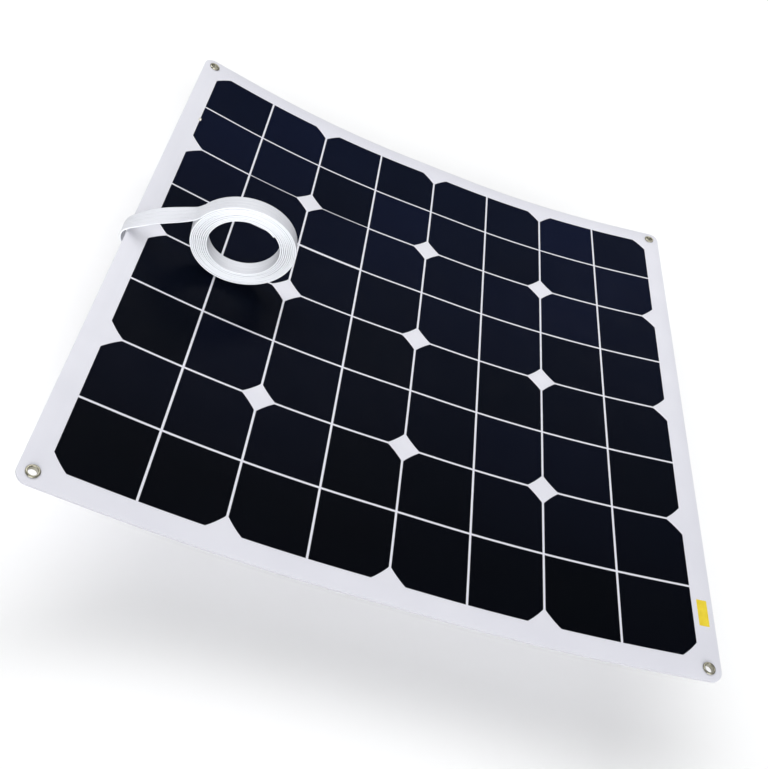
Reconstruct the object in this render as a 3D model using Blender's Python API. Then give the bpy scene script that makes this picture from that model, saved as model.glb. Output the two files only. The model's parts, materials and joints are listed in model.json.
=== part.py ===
"""Flexible solar sheet, lying on its back with its two sides curled up.

The laminate is divided along its seven bend lines into eight strips, one for each column of
cells.  Strips 4 and 5 lie flat and the outer strips tilt up in equal steps.  A strip's pieces
are built flat in the strip's own frame and carried by an empty on its bend line.

Strip frame: x runs across the sheet (u), y runs from the near edge to the far edge (v), and z
is the height above the middle of the laminate.  Heights h are counted from the sheet's back.
World frame: +Z up, origin under the middle of the sheet on the surface that it lies on.
"""

from math import cos, pi, radians, sin

import bmesh
import bpy
from mathutils import Matrix, Vector

MM = 0.001
FIT = 0.3 * MM                      # clearance left between touching pieces

# Sheet
COLUMNS = 8
ROWS = 8
PITCH = 64.5 * MM                   # quarter cell plus one gap
SHEET = 550 * MM                    # side of the square sheet
CORNER_R = 10 * MM
BEND_STEP = radians(3.15)           # tilt added at each bend line outside the flat middle

# Layers, back to front
BACKSHEET_T = 1.0 * MM
ENCAPSULANT_T = 0.3 * MM
CELL_T = 0.25 * MM
FILM_T = 0.3 * MM
ENCAPSULANT_H = BACKSHEET_T + FIT
CELL_H = ENCAPSULANT_H + ENCAPSULANT_T + FIT
FILM_H = CELL_H + CELL_T + FIT
LAMINATE_T = FILM_H + FILM_T

# Cells: each is a quarter of a 125 mm wafer with 160 mm between its rounded-off corners
CELL = 62.6 * MM
CELL_CHAMFER = 12.4 * MM
TAB = 12 * MM                       # width of the tab that joins two cells of a string

# Eyelets
EYELET_INSET = 10.5 * MM            # centre to both edges of the sheet
EYELET_HOLE_R = 3.3 * MM
EYELET_BARREL_R = 3.6 * MM
EYELET_FLANGE_R = 5.2 * MM
EYELET_ROLL_R = 4.7 * MM
EYELET_ROLL_T = 0.7 * MM            # depth of the lip rolled over the washer
EYELET_LIP = 0.35 * MM              # width of the slopes on the flange and on the rolled lip
EYELET_FLANGE_T = 0.9 * MM
EYELET_FACE_R = (3.9 * MM, 4.6 * MM)        # flat ring on top of the flange
WASHER_T = 0.6 * MM
ROUND_SIDES = 24

# Junction box on the back of strip 1 (depths are counted away from the back of the sheet)
BOX_U = -34 * MM
BOX_V = -9.5 * MM
BOX_HALF_U = 15 * MM
BOX_HALF_V = 32 * MM
BOX_CORNER_R = 3 * MM
BOX_WALL = 1.6 * MM
BOX_FLOOR = 1.5 * MM
BOX_POST = 6 * MM                   # square corner posts that take the lid screws
PAD_T = 0.8 * MM
BASE_D = FIT + PAD_T + FIT          # depth at which the base begins
RIM_D = 9.0 * MM                    # depth of the base's open rim
GASKET_T = 0.6 * MM
LID_T = 1.5 * MM
LID_D = RIM_D + FIT + GASKET_T + FIT
WINDOW_HALF_U = 3.5 * MM            # window that the two bus ribbons pass through
WINDOW_HALF_V = 7.6 * MM
RIBBON_U = -41 * MM
RIBBON_HALF_W = 2.0 * MM
RIBBON_T = 0.25 * MM
RIBBON_V = 6.0 * MM                 # the ribbons' upright legs, each side of the box's middle
RIBBON_SLOT_HALF_V = 0.7 * MM
RIBBON_BED_V = (5.3 * MM, 20.4 * MM)        # groove in the encapsulant for a ribbon's flat end
RIBBON_INNER_V = 20 * MM            # end of the stretch under the cells
RIBBON_FOOT_V = 12.8 * MM           # end of the foot over the terminal
RIBBON_FOOT_H = 1.2 * MM            # height of the foot over the box's floor
TERMINAL_U = (-43.5 * MM, -22 * MM)
TERMINAL_V = (9.5 * MM, 19 * MM)
TERMINAL_T = 0.6 * MM
TERMINAL_LUG_V = (13.4 * MM, 14.2 * MM)
TERMINAL_LUG_H = 2.0 * MM
SCREW_HOLE_R = 1.3 * MM
SCREW_SHANK_R = 1.0 * MM
SCREW_HEAD_R = 2.3 * MM
SCREW_HEAD_T = 0.9 * MM
SCREW_END_D = 4.4 * MM
SCREW_HOLE_SIDES = 16
OUTLET_D = 6.0 * MM                 # depth of the cable's middle where it leaves the box
OUTLET_HALF_V = 8.6 * MM
OUTLET_HALF_D = 1.9 * MM
DIODE_U = -25 * MM
DIODE_D = 6.2 * MM
DIODE_R = 2.4 * MM
DIODE_LEAD_R = 0.4 * MM
DIODE_HALF_V = 4.5 * MM             # half the length of the diode's body
DIODE_LEAD_V = 16.5 * MM            # its leads' ends
DIODE_SIDES = 16
CLAMP_U = (-44.6 * MM, -41.4 * MM)
CLAMP_HALF_V = 9 * MM
CLAMP_T = 1.4 * MM

# A core pair's outline between the clamp and its terminal: u, and v out from the box's middle, mm.
TAIL_OUTLINE = ((-45.6, 0.4), (-45.6, 7.2), (-40.5, 7.2), (-36.5, 16.0), (-31.0, 16.0),
                (-31.0, 10.0), (-33.0, 10.0), (-37.5, 0.4))
# The collar from inside the wall to its tip: u, half width and half depth, in millimetres.
COLLAR_SECTIONS = ((-45.9, 9.6, 2.5), (-47.1, 9.6, 2.5), (-47.1, 8.3, 1.6), (-49.3, 8.3, 1.6),
                   (-49.3, 9.6, 2.6), (-51.0, 9.4, 2.3), (-56.0, 7.7, 1.2))
COLLAR_CHAMFER = 0.35               # of a section's half depth

# Cable: flat, four cores side by side
CABLE_W = 14.4 * MM
CABLE_T = 1.2 * MM
ROLL_R = 44 * MM
ROLL_HOLE_R = 29 * MM
ROLL_X = -177.8 * MM
ROLL_Y = -13.9 * MM
ROLL_YAW = radians(6.3)             # the roll's plane turned about the vertical
ROLL_SIDES = 64

# Route of the cable's middle from the box, round the sheet's left edge, up to the roll.
# x, y, z in millimetres.
CABLE_ROUTE = (
    (-249.7, -9.5, 14.0), (-253.2, -9.5, 14.3), (-257.0, -9.5, 13.8), (-260.8, -9.5, 12.2),
    (-264.5, -9.5, 10.0), (-268.2, -9.5, 8.6), (-272.2, -9.5, 9.0), (-275.8, -9.5, 11.5),
    (-277.9, -9.5, 15.5), (-278.1, -9.5, 20.6), (-276.3, -9.6, 26.0), (-272.5, -9.8, 30.8),
    (-266.8, -10.1, 36.1), (-260.1, -10.6, 41.9), (-252.5, -11.2, 47.9), (-244.5, -11.9, 53.4),
    (-236.5, -12.8, 58.5), (-229.5, -13.9, 63.3), (-223.7, -15.2, 67.7), (-221.3, -15.8, 70.0),
)
ROUTE_STEP = 2.6 * MM               # spacing of the swept cable's rings
CABLE_TWIST = radians(24)           # the far edge's lean upwards, halfway from the edge to the roll
TWIST_START = 0.36                  # share of the route where the lean begins


def clear_scene():
    for old in list(bpy.data.objects):
        bpy.data.objects.remove(old, do_unlink=True)


def material(name, colour, roughness, metallic=0.0):
    made = bpy.data.materials.new(name)
    made.use_nodes = True
    shader = made.node_tree.nodes["Principled BSDF"]
    shader.inputs["Base Color"].default_value = (*colour, 1.0)
    shader.inputs["Roughness"].default_value = roughness
    shader.inputs["Metallic"].default_value = metallic
    return made


def finished(name, bm, finish, parent=None, smooth=False):
    """One named object from a bmesh, with its faces turned outwards."""
    bmesh.ops.recalc_face_normals(bm, faces=bm.faces)
    mesh = bpy.data.meshes.new(name)
    bm.to_mesh(mesh)
    bm.free()
    mesh.materials.append(finish)
    if smooth:
        mesh.shade_smooth()
        mesh.set_sharp_from_angle(angle=radians(35))
    made = bpy.data.objects.new(name, mesh)
    bpy.context.scene.collection.objects.link(made)
    made.parent = parent
    return made


def skin_rings(bm, rings, closed=False):
    """Quads between neighbouring rings of vertices; a closed row also joins last to first."""
    count = len(rings)
    for k in range(count if closed else count - 1):
        a, b = rings[k], rings[(k + 1) % count]
        for i in range(len(a)):
            j = (i + 1) % len(a)
            bm.faces.new((a[i], a[j], b[j], b[i]))


def lofted(bm, loops):
    """A closed solid through loops of points, capped at both ends."""
    rings = [[bm.verts.new(point) for point in loop] for loop in loops]
    skin_rings(bm, rings)
    bm.faces.new(rings[0])
    bm.faces.new(rings[-1])


def plate_into(bm, outline, h0, h1):
    """A flat plate with a (u, v) outline, from height h0 to h1 above the sheet's back."""
    lofted(bm, [[(u, v, h - LAMINATE_T / 2) for u, v in outline] for h in (h0, h1)])


def plate(name, outline, h0, h1, finish, parent):
    bm = bmesh.new()
    plate_into(bm, outline, h0, h1)
    return finished(name, bm, finish, parent)


def bar_along_u(name, section, u0, u1, finish, parent):
    """A bar along u whose section is given as (v, depth)."""
    bm = bmesh.new()
    lofted(bm, [[(u, v, -d - LAMINATE_T / 2) for v, d in section] for u in (u0, u1)])
    return finished(name, bm, finish, parent)


def turned_into(bm, profile, u, v, sides):
    """A closed (radius, height) profile spun about an upright line through (u, v)."""
    rings = []
    for k in range(sides):
        a = 2 * pi * k / sides
        rings.append([bm.verts.new((u + r * cos(a), v + r * sin(a), h - LAMINATE_T / 2))
                      for r, h in profile])
    skin_rings(bm, rings, closed=True)


def round_bar_into(bm, radius, u, v, h0, h1, sides=ROUND_SIDES):
    circle = [(u + radius * cos(2 * pi * k / sides), v + radius * sin(2 * pi * k / sides))
              for k in range(sides)]
    plate_into(bm, circle, h0, h1)


def rectangle(u0, u1, v0, v1):
    return [(u0, v0), (u1, v0), (u1, v1), (u0, v1)]


def arc(u, v, radius, start, end, steps=5):
    return [(u + radius * cos(start + (end - start) * k / steps),
             v + radius * sin(start + (end - start) * k / steps)) for k in range(steps + 1)]


def rounded_rectangle(u0, u1, v0, v1, radius):
    return (arc(u0 + radius, v0 + radius, radius, pi, 1.5 * pi)
            + arc(u1 - radius, v0 + radius, radius, 1.5 * pi, 2 * pi)
            + arc(u1 - radius, v1 - radius, radius, 0, 0.5 * pi)
            + arc(u0 + radius, v1 - radius, radius, 0.5 * pi, pi))


def cut(target, bm, name):
    """Subtract the solids in a bmesh, kept as a hidden wire cutter beside the target."""
    cutter = finished(name, bm, target.data.materials[0], target.parent)
    cutter.hide_render = True
    cutter.display_type = "WIRE"
    step = target.modifiers.new("cut", "BOOLEAN")
    step.operation = "DIFFERENCE"
    step.solver = "EXACT"
    step.object = cutter
    return target


# ---- the eight strips ---------------------------------------------------------------------

def strip_tilts():
    """Tilt of strips 1 to 8 about +Y: zero for the middle two, growing outwards."""
    steps = [max(0, COLUMNS // 2 - 1 - k) for k in range(COLUMNS // 2)]
    left = [step * BEND_STEP for step in steps]
    return left + [-tilt for tilt in reversed(left)]


def strip_frames():
    """An empty for each strip, standing on the bend line nearer the middle of the sheet."""
    tilts = strip_tilts()
    frames = {}
    for side in (-1, 1):
        x, z = 0.0, LAMINATE_T / 2
        order = range(COLUMNS // 2, 0, -1) if side < 0 else range(COLUMNS // 2 + 1, COLUMNS + 1)
        for k in order:
            tilt = tilts[k - 1]
            frame = bpy.data.objects.new(f"strip_{k}_frame", None)
            frame.location = (x, 0.0, z)
            frame.rotation_euler = (0.0, tilt, 0.0)
            bpy.context.scene.collection.objects.link(frame)
            frames[k] = frame
            x += side * PITCH * cos(tilt)
            z += PITCH * sin(abs(tilt))
    return frames


def side_of(k):
    return -1 if k <= COLUMNS // 2 else 1


def strip_outline(k):
    """A strip's outline, with the sheet's rounded corners on the two end strips."""
    side = side_of(k)
    half = SHEET / 2
    if k not in (1, COLUMNS):
        ends = sorted((side * FIT / 2, side * (PITCH - FIT / 2)))
        return rectangle(ends[0], ends[1], -half, half)
    outer = half - (COLUMNS // 2 - 1) * PITCH
    corner = (arc(outer - CORNER_R, half - CORNER_R, CORNER_R, pi / 2, 0)
              + arc(outer - CORNER_R, CORNER_R - half, CORNER_R, 0, -pi / 2))
    points = [(FIT / 2, half)] + corner + [(FIT / 2, -half)]
    return [(side * u, v) for u, v in points]


def eyelet_places(k):
    """Eyelet centres in the frame of end strip k."""
    u = side_of(k) * (SHEET / 2 - (COLUMNS // 2 - 1) * PITCH - EYELET_INSET)
    v = SHEET / 2 - EYELET_INSET
    return [(u, -v), (u, v)]


def add_layer(name, k, h, thickness, finish, frame, slots=()):
    """One layer of strip k, with eyelet holes in the end strips and any slots cut out."""
    layer = plate(f"{name}_{k}", strip_outline(k), h, h + thickness, finish, frame)
    if k in (1, COLUMNS):
        bm = bmesh.new()
        for u, v in eyelet_places(k):
            round_bar_into(bm, EYELET_BARREL_R + FIT, u, v, h - MM, h + thickness + MM)
        for outline in slots:
            plate_into(bm, outline, h - MM, h + thickness + MM)
        cut(layer, bm, f"{name}_{k}_holes")
    return layer


def string_outline(k):
    """Eight quarter cells in one column, joined by tabs across the gaps between them.

    The corners cut off lie on alternating sides, so four cells around a wafer's corner
    leave a white diamond between them.
    """
    middle = side_of(k) * PITCH / 2
    chamfered = -1 if k % 2 else 1
    up, down = [], []
    for row in range(ROWS):
        v = (row - (ROWS - 1) / 2) * PITCH
        low, high = v - CELL / 2, v + CELL / 2
        edge = middle + chamfered * CELL / 2
        inset = middle + chamfered * (CELL / 2 - CELL_CHAMFER)
        if row % 2 == 0:
            corners = [(inset, low), (edge, low + CELL_CHAMFER), (edge, high)]
        else:
            corners = [(edge, low), (edge, high - CELL_CHAMFER), (inset, high)]
        straight = middle - chamfered * CELL / 2
        back = [(straight, low), (straight, high)]
        tab = chamfered * TAB / 2
        if row > 0:
            corners.insert(0, (middle + tab, low))
            back.insert(0, (middle - tab, low))
        if row < ROWS - 1:
            corners.append((middle + tab, high))
            back.append((middle - tab, high))
        up += corners
        down += back
    return up + down[::-1]


def add_strips(frames, finishes):
    ends = (RIBBON_U - RIBBON_HALF_W - FIT, RIBBON_U + RIBBON_HALF_W + FIT)
    ribbon_window = [rectangle(*ends, BOX_V + side * RIBBON_V - RIBBON_SLOT_HALF_V,
                               BOX_V + side * RIBBON_V + RIBBON_SLOT_HALF_V) for side in (-1, 1)]
    ribbon_bed = [rectangle(*ends, *sorted(BOX_V + side * v for v in RIBBON_BED_V))
                  for side in (-1, 1)]
    for k in range(1, COLUMNS + 1):
        first = k == 1
        add_layer("backsheet", k, 0.0, BACKSHEET_T, finishes["backsheet"], frames[k],
                  ribbon_window if first else ())
        add_layer("rear_encapsulant", k, ENCAPSULANT_H, ENCAPSULANT_T,
                  finishes["encapsulant"], frames[k], ribbon_bed if first else ())
        plate(f"cell_string_{k}", string_outline(k), CELL_H, CELL_H + CELL_T,
              finishes["cell"], frames[k])
        add_layer("front_film", k, FILM_H, FILM_T, finishes["film"], frames[k])


# ---- eyelets ------------------------------------------------------------------------------

def add_eyelets(frames, finishes):
    top = LAMINATE_T + FIT
    washer_top = -FIT
    washer_low = washer_top - WASHER_T
    rolled = washer_low - FIT
    eyelet = [
        (EYELET_HOLE_R, rolled - EYELET_ROLL_T / 2),
        (EYELET_HOLE_R + EYELET_LIP, rolled - EYELET_ROLL_T),
        (EYELET_ROLL_R - EYELET_LIP, rolled - EYELET_ROLL_T),
        (EYELET_ROLL_R, rolled),
        (EYELET_BARREL_R, rolled),
        (EYELET_BARREL_R, top),
        (EYELET_FLANGE_R, top),
        (EYELET_FLANGE_R - EYELET_LIP / 2, top + EYELET_FLANGE_T / 2),
        (EYELET_FACE_R[1], top + EYELET_FLANGE_T),
        (EYELET_FACE_R[0], top + EYELET_FLANGE_T),
        (EYELET_HOLE_R, top + EYELET_FLANGE_T / 3),
    ]
    washer = [
        (EYELET_BARREL_R + FIT, washer_low),
        (EYELET_FLANGE_R, washer_low),
        (EYELET_FLANGE_R, washer_top),
        (EYELET_BARREL_R + FIT, washer_top),
    ]
    for k, side in ((1, "left"), (COLUMNS, "right")):
        for (u, v), edge in zip(eyelet_places(k), ("near", "far")):
            for name, profile in (("eyelet", eyelet), ("eyelet_washer", washer)):
                bm = bmesh.new()
                turned_into(bm, profile, u, v, ROUND_SIDES)
                finished(f"{name}_{edge}_{side}", bm, finishes["nickel"], frames[k], smooth=True)


# ---- junction box -------------------------------------------------------------------------

def box_rectangle(grow=0.0):
    return (BOX_U - BOX_HALF_U - grow, BOX_U + BOX_HALF_U + grow,
            BOX_V - BOX_HALF_V - grow, BOX_V + BOX_HALF_V + grow)


def pocket_outline():
    """The box's inside: a rectangle with its corners taken up by the screw posts."""
    u0, u1, v0, v1 = box_rectangle(-BOX_WALL)
    p = BOX_POST - BOX_WALL
    return [(u0 + p, v0), (u1 - p, v0), (u1 - p, v0 + p), (u1, v0 + p), (u1, v1 - p),
            (u1 - p, v1 - p), (u1 - p, v1), (u0 + p, v1), (u0 + p, v1 - p), (u0, v1 - p),
            (u0, v0 + p), (u0 + p, v0 + p)]


def screw_places():
    u0, u1, v0, v1 = box_rectangle(-BOX_POST / 2 - 0.2 * MM)
    return [(u0, v0), (u1, v0), (u1, v1), (u0, v1)]


def window_rectangle():
    return rectangle(RIBBON_U - WINDOW_HALF_U, RIBBON_U + WINDOW_HALF_U,
                     BOX_V - WINDOW_HALF_V, BOX_V + WINDOW_HALF_V)


def add_box(frame, finishes):
    pad = plate("box_adhesive_pad", rectangle(*box_rectangle(-0.5 * MM)), -FIT - PAD_T, -FIT,
                finishes["foam"], frame)
    bm = bmesh.new()
    plate_into(bm, window_rectangle(), -FIT - PAD_T - MM, MM)
    cut(pad, bm, "box_adhesive_pad_window")

    base = plate("box_base", rounded_rectangle(*box_rectangle(), BOX_CORNER_R), -RIM_D, -BASE_D,
                 finishes["box"], frame)
    bm = bmesh.new()
    plate_into(bm, pocket_outline(), -RIM_D - MM, -BASE_D - BOX_FLOOR)
    cut(base, bm, "box_base_pocket")
    bm = bmesh.new()
    plate_into(bm, window_rectangle(), -BASE_D - BOX_FLOOR - MM, -BASE_D + MM)
    for u, v in screw_places():
        round_bar_into(bm, SCREW_HOLE_R, u, v, -RIM_D - MM, -SCREW_END_D + FIT, SCREW_HOLE_SIDES)
    cut(base, bm, "box_base_holes")
    bm = bmesh.new()
    plate_into(bm, rectangle(BOX_U - BOX_HALF_U - MM, BOX_U - BOX_HALF_U + BOX_WALL + MM,
                             BOX_V - OUTLET_HALF_V, BOX_V + OUTLET_HALF_V),
               -OUTLET_D - OUTLET_HALF_D, -OUTLET_D + OUTLET_HALF_D)
    cut(base, bm, "box_base_outlet")

    gasket = plate("box_gasket", rounded_rectangle(*box_rectangle(-0.3 * MM), BOX_CORNER_R),
                   -RIM_D - FIT - GASKET_T, -RIM_D - FIT, finishes["rubber"], frame)
    bm = bmesh.new()
    plate_into(bm, pocket_outline(), -RIM_D - 2 * MM, -RIM_D + MM)
    for u, v in screw_places():
        round_bar_into(bm, SCREW_HOLE_R, u, v, -RIM_D - 2 * MM, -RIM_D + MM, SCREW_HOLE_SIDES)
    cut(gasket, bm, "box_gasket_opening")

    lid = plate("box_lid", rounded_rectangle(*box_rectangle(), BOX_CORNER_R),
                -LID_D - LID_T, -LID_D, finishes["box"], frame)
    bm = bmesh.new()
    for u, v in screw_places():
        round_bar_into(bm, SCREW_HOLE_R, u, v, -LID_D - LID_T - MM, -LID_D + MM,
                       SCREW_HOLE_SIDES)
    cut(lid, bm, "box_lid_holes")
    bm = bmesh.new()
    for u, v in screw_places():
        round_bar_into(bm, SCREW_HEAD_R + FIT, u, v, -LID_D - LID_T - MM,
                       -LID_D - LID_T + SCREW_HEAD_T + FIT, SCREW_HOLE_SIDES)
    cut(lid, bm, "box_lid_counterbores")

    head_low = -LID_D - LID_T
    profile = [(0.35 * MM, head_low + 0.4 * MM), (0.6 * MM, head_low), (SCREW_HEAD_R, head_low),
               (SCREW_HEAD_R, head_low + SCREW_HEAD_T), (SCREW_SHANK_R, head_low + SCREW_HEAD_T),
               (SCREW_SHANK_R, -SCREW_END_D)]
    for number, (u, v) in enumerate(screw_places(), 1):
        add_screw(f"box_screw_{number}", profile, u, v, frame, finishes["steel"])


def add_screw(name, profile, u, v, frame, finish, sides=12):
    """A pan-head screw: a dimpled head over a plain shank, closed at both tips."""
    bm = bmesh.new()
    loops = [[(u + r * cos(2 * pi * k / sides), v + r * sin(2 * pi * k / sides),
               h - LAMINATE_T / 2) for k in range(sides)] for r, h in profile]
    lofted(bm, loops)
    finished(name, bm, finish, frame, smooth=True)


def add_box_contents(frame, finishes):
    """Bus ribbons, terminals, diode, cable tails, clamp and collar."""
    floor_d = BASE_D + BOX_FLOOR
    foot = floor_d + RIBBON_FOOT_H
    bed = -(ENCAPSULANT_H + RIBBON_T)
    leg = (RIBBON_V - RIBBON_T / 2, RIBBON_V + RIBBON_T / 2)
    low = floor_d + FIT
    high, tip = low + TERMINAL_T, low + TERMINAL_LUG_H
    ribbon = ((leg[0], bed), (RIBBON_INNER_V, bed), (RIBBON_INNER_V, bed + RIBBON_T),
              (leg[1], bed + RIBBON_T), (leg[1], foot), (RIBBON_FOOT_V, foot),
              (RIBBON_FOOT_V, foot + RIBBON_T), (leg[0], foot + RIBBON_T))
    terminal = ((TERMINAL_V[0], low), (TERMINAL_V[1], low), (TERMINAL_V[1], high),
                (TERMINAL_LUG_V[1], high), (TERMINAL_LUG_V[1], tip), (TERMINAL_LUG_V[0], tip),
                (TERMINAL_LUG_V[0], high), (TERMINAL_V[0], high))
    for side, sign in ((1, "pos"), (-1, "neg")):
        bar_along_u(f"bus_ribbon_{sign}", [(BOX_V + side * v, d) for v, d in ribbon],
                    RIBBON_U - RIBBON_HALF_W, RIBBON_U + RIBBON_HALF_W, finishes["copper"], frame)
        bar_along_u(f"terminal_{sign}", [(BOX_V + side * v, d) for v, d in terminal],
                    *TERMINAL_U, finishes["brass"], frame)
        plate(f"cable_tail_{sign}", [(u * MM, BOX_V + side * v * MM) for u, v in TAIL_OUTLINE],
              -OUTLET_D - CABLE_T / 2, -OUTLET_D + CABLE_T / 2 - FIT, finishes["cable"], frame)
    add_diode(frame, finishes["black"])
    plate("cable_clamp", rounded_rectangle(*CLAMP_U, BOX_V - CLAMP_HALF_V, BOX_V + CLAMP_HALF_V,
                                           MM),
          -OUTLET_D - CABLE_T / 2 - FIT - CLAMP_T, -OUTLET_D - CABLE_T / 2 - FIT,
          finishes["box"], frame)
    add_collar(frame, finishes["box"])


def add_diode(frame, finish):
    """A round diode along v, with a straight lead at each end."""
    profile = ((DIODE_LEAD_R, -DIODE_LEAD_V), (DIODE_LEAD_R, -DIODE_HALF_V),
               (DIODE_R, -DIODE_HALF_V), (DIODE_R, DIODE_HALF_V),
               (DIODE_LEAD_R, DIODE_HALF_V), (DIODE_LEAD_R, DIODE_LEAD_V))
    turns = [2 * pi * k / DIODE_SIDES for k in range(DIODE_SIDES)]
    bm = bmesh.new()
    lofted(bm, [[(DIODE_U + r * cos(a), BOX_V + v, -DIODE_D - LAMINATE_T / 2 + r * sin(a))
                 for a in turns] for r, v in profile])
    finished("bypass_diode", bm, finish, frame, smooth=True)


def add_collar(frame, finish):
    """The strain relief: a flange inside the box's wall, a neck through it and a tapered tip."""
    bm = bmesh.new()
    loops = []
    for u, half_v, half_d in COLLAR_SECTIONS:
        chamfer = COLLAR_CHAMFER * half_d
        corner = [(half_v - chamfer, half_d), (half_v, half_d - chamfer)]
        quarter = corner + [(v, -d) for v, d in reversed(corner)]
        outline = quarter + [(-v, d) for v, d in reversed(quarter)]
        loops.append([(u * MM, BOX_V + v * MM, -OUTLET_D - d * MM - LAMINATE_T / 2)
                      for v, d in outline])
    lofted(bm, loops)
    finished("cable_collar", bm, finish, frame)


# ---- cable --------------------------------------------------------------------------------

def smooth_route(points, step):
    """Points a step apart on the smooth curve through the route's points (Catmull-Rom)."""
    knots = [Vector(point) * MM for point in points]
    ends = [2 * knots[0] - knots[1]] + knots + [2 * knots[-1] - knots[-2]]
    fine = []
    for k in range(len(knots) - 1):
        a, b, c, d = ends[k:k + 4]
        for i in range(12):
            t = i / 12
            fine.append(0.5 * ((2 * b) + (c - a) * t + (2 * a - 5 * b + 4 * c - d) * t * t
                               + (3 * b - a - 3 * c + d) * t ** 3))
    fine.append(knots[-1])
    kept = [fine[0]]
    for point in fine[1:]:
        if (point - kept[-1]).length >= step:
            kept.append(point)
    kept[-1] = fine[-1]
    return kept


def roll_across():
    """The direction of the roll's axis, which is also the cable's width on the roll."""
    return Vector((-sin(ROLL_YAW), cos(ROLL_YAW), 0.0))


def add_cable_run(finish):
    """The flat cable between the collar and the roll, swept as one closed strap."""
    line = smooth_route(CABLE_ROUTE, ROUTE_STEP)
    bm = bmesh.new()
    loops = []
    for k, point in enumerate(line):
        ahead = (line[min(k + 1, len(line) - 1)] - line[max(k - 1, 0)]).normalized()
        share = k / (len(line) - 1)
        across = Vector((0, 1, 0)).lerp(roll_across(), share)
        across = (across - across.dot(ahead) * ahead).normalized()
        out = ahead.cross(across)
        leaning = max(share - TWIST_START, 0) / (1 - TWIST_START)
        lean = Matrix.Rotation(CABLE_TWIST * sin(pi * leaning), 3, ahead)
        half_w, half_t = CABLE_W / 2, CABLE_T / 2
        loops.append([point + lean @ (across * a * half_w + out * b * half_t)
                      for a, b in ((-1, -1), (1, -1), (1, 1), (-1, 1))])
    lofted(bm, loops)
    finished("cable_run", bm, finish)


def roll_height():
    """Height of the roll's middle: its lowest turn stands on strip 2, a fit away."""
    tilts = strip_tilts()
    x, z = 0.0, LAMINATE_T / 2
    for k in (4, 3):
        x -= PITCH * cos(tilts[k - 1])
        z += PITCH * sin(tilts[k - 1])
    tilt = tilts[1]
    reach = ROLL_R + FIT + LAMINATE_T / 2
    along = (x - ROLL_X + reach * sin(tilt)) / cos(tilt)
    return z + along * sin(tilt) + reach * cos(tilt)


def add_cable_coil(finish):
    """The rolled-up cable: a turned ring standing on the sheet on its outer turn."""
    bm = bmesh.new()
    half = CABLE_W / 2
    rings = []
    for k in range(ROLL_SIDES):
        a = 2 * pi * k / ROLL_SIDES
        rings.append([bm.verts.new((r * cos(a), y, r * sin(a))) for r, y in
                      ((ROLL_HOLE_R, -half), (ROLL_R, -half), (ROLL_R, half), (ROLL_HOLE_R, half))])
    skin_rings(bm, rings, closed=True)
    coil = finished("cable_coil", bm, finish, smooth=True)
    coil.matrix_world = (Matrix.Translation((ROLL_X, ROLL_Y, roll_height()))
                         @ Matrix.Rotation(ROLL_YAW, 4, "Z"))


def main():
    clear_scene()
    finishes = {
        "backsheet": material("white_backsheet", (0.88, 0.88, 0.90), 0.55),
        "encapsulant": material("clear_encapsulant", (0.93, 0.93, 0.94), 0.4),
        "cell": material("silicon_cell", (0.012, 0.013, 0.022), 0.35),
        "film": material("front_film", (0.90, 0.90, 0.93), 0.3),
        "nickel": material("nickel_plate", (0.62, 0.61, 0.55), 0.3, 1.0),
        "box": material("box_plastic", (0.03, 0.03, 0.032), 0.5),
        "foam": material("adhesive_foam", (0.75, 0.75, 0.73), 0.9),
        "rubber": material("gasket_rubber", (0.05, 0.05, 0.05), 0.8),
        "steel": material("screw_steel", (0.6, 0.6, 0.6), 0.35, 1.0),
        "copper": material("tinned_copper", (0.72, 0.66, 0.58), 0.35, 1.0),
        "brass": material("terminal_brass", (0.72, 0.55, 0.25), 0.35, 1.0),
        "black": material("diode_epoxy", (0.02, 0.02, 0.02), 0.4),
        "cable": material("cable_sheath", (0.85, 0.86, 0.90), 0.45),
    }
    frames = strip_frames()
    add_strips(frames, finishes)
    add_eyelets(frames, finishes)
    add_box(frames[1], finishes)
    add_box_contents(frames[1], finishes)
    add_cable_run(finishes["cable"])
    add_cable_coil(finishes["cable"])


main()
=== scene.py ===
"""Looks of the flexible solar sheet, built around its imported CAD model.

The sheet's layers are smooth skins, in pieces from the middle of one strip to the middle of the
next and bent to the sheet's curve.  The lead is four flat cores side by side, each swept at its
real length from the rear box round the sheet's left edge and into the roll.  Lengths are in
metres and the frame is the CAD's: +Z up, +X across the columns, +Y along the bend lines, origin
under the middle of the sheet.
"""

import json
from math import atan2, cos, pi, radians, sin, sqrt, tan

import bmesh
import bpy
from mathutils import Matrix, Vector


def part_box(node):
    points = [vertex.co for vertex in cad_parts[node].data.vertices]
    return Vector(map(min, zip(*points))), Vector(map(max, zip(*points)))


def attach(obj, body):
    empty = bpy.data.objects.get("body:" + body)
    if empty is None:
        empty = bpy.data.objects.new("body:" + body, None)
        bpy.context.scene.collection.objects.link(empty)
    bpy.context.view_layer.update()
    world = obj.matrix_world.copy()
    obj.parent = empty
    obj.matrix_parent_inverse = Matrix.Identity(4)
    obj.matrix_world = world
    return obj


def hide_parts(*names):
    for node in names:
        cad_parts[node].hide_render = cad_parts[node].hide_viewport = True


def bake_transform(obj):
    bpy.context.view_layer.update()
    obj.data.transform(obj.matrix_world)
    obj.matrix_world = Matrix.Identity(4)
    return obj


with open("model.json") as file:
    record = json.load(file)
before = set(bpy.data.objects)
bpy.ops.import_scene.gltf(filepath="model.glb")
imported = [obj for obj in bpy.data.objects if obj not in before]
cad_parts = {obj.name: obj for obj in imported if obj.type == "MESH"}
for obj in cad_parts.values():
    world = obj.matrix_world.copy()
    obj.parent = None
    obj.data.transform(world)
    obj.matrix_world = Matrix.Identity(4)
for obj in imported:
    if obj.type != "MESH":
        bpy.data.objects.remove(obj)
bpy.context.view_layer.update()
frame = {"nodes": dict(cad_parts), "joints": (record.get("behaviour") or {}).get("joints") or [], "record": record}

MM = 0.001

# ---- what the frame says --------------------------------------------------------------------

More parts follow.
